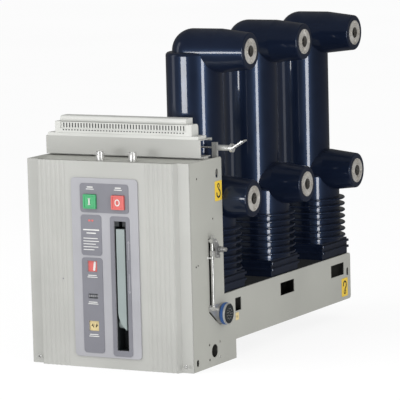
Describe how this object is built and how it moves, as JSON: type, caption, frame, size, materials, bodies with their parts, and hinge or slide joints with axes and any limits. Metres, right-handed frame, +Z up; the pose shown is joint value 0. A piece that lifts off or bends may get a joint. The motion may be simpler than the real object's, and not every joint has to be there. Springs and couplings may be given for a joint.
{
  "type": "indoor vacuum circuit breaker",
  "caption": "Indoor medium-voltage vacuum circuit breaker: dark embedded poles in a row on a sheet-metal chassis, side-facing terminals, spring mechanism housing with operator panel.",
  "frame": {"origin": "centre of the mounting hole pattern on the underside of the chassis, below the middle pole", "axes": "+X the way the terminals point, -Y towards the operator, +Z up"},
  "size_m": [0.4836, 0.854, 0.754],
  "materials": {
    "chassis_paint": "fine satin powder coat, warm light grey",
    "deck_paint": "satin, dark grey",
    "cover_paint": "fine satin powder coat, pale grey",
    "zinc_steel": "zinc plated",
    "dark_steel": "blackened, with a bright shaft",
    "epoxy": "glossy cast epoxy, very dark navy",
    "contact_silver": "silver plated, machined",
    "panel_plastic": "satin, violet grey",
    "field_plastic": "satin, darker violet grey",
    "green_plastic": "satin green",
    "red_plastic": "satin red",
    "black_plastic": "matt black",
    "cream_plastic": "satin cream",
    "lever_plastic": "satin, pale grey green",
    "terminal_plastic": "satin, off-white",
    "cast_alloy": "cast, satin"
  },
  "bodies": {
    "breaker": {"chassis_side_right": "chassis_paint", "chassis_side_left": "chassis_paint", "chassis_deck": "deck_paint", "chassis_end_plate": "chassis_paint", "chassis_front_plate": "chassis_paint", "mounting_bars": "zinc_steel", "pole_1": "epoxy", "pole_2": "epoxy", "pole_3": "epoxy", "contacts_1": "contact_silver", "contacts_2": "contact_silver", "contacts_3": "contact_silver", "side_plate_right": "chassis_paint", "side_plate_left": "chassis_paint", "housing_roof": "chassis_paint", "housing_floor": "chassis_paint", "housing_rear_wall": "chassis_paint", "front_cover": "cover_paint", "fascia_plate": "panel_plastic", "button_field": "field_plastic", "text_field": "field_plastic", "indicator_field": "field_plastic", "lever_field": "field_plastic", "position_indicator": "red_plastic", "operation_counter": "black_plastic", "spring_indicator": "cream_plastic", "lever_tray": "black_plastic", "lever_pin": "zinc_steel", "wiring_duct": "cover_paint", "terminal_base": "terminal_plastic", "terminal_strip": "terminal_plastic", "terminal_cover_bar": "terminal_plastic", "terminal_end_stops": "terminal_plastic", "interlock_posts": "zinc_steel", "interlock_bracket": "zinc_steel", "interlock_shaft": "zinc_steel", "interlock_blade": "zinc_steel", "link_rod": "zinc_steel", "link_crank": "dark_steel", "connector_flange": "cast_alloy", "connector_shell": "cast_alloy", "connector_insert": "black_plastic"},
    "close_button": {"close_button": "green_plastic"},
    "open_button": {"open_button": "red_plastic"},
    "charging_lever": {"charging_lever": "lever_plastic"}
  },
  "joints": [
    {"name": "close_button_press", "type": "slide", "parent": "breaker", "child": "close_button", "axis": [0, 1, 0], "range_m": [0, 0.004], "stiffness_N_per_m": 500, "springref_m": -0.01},
    {"name": "open_button_press", "type": "slide", "parent": "breaker", "child": "open_button", "axis": [0, 1, 0], "range_m": [0, 0.004], "stiffness_N_per_m": 500, "springref_m": -0.01},
    {"name": "charging_lever_turn", "type": "hinge", "parent": "breaker", "child": "charging_lever", "pos_m": [-0.081, -0.474, 0.059], "axis": [1, 0, 0], "range_deg": [0, 80]}
  ]
}
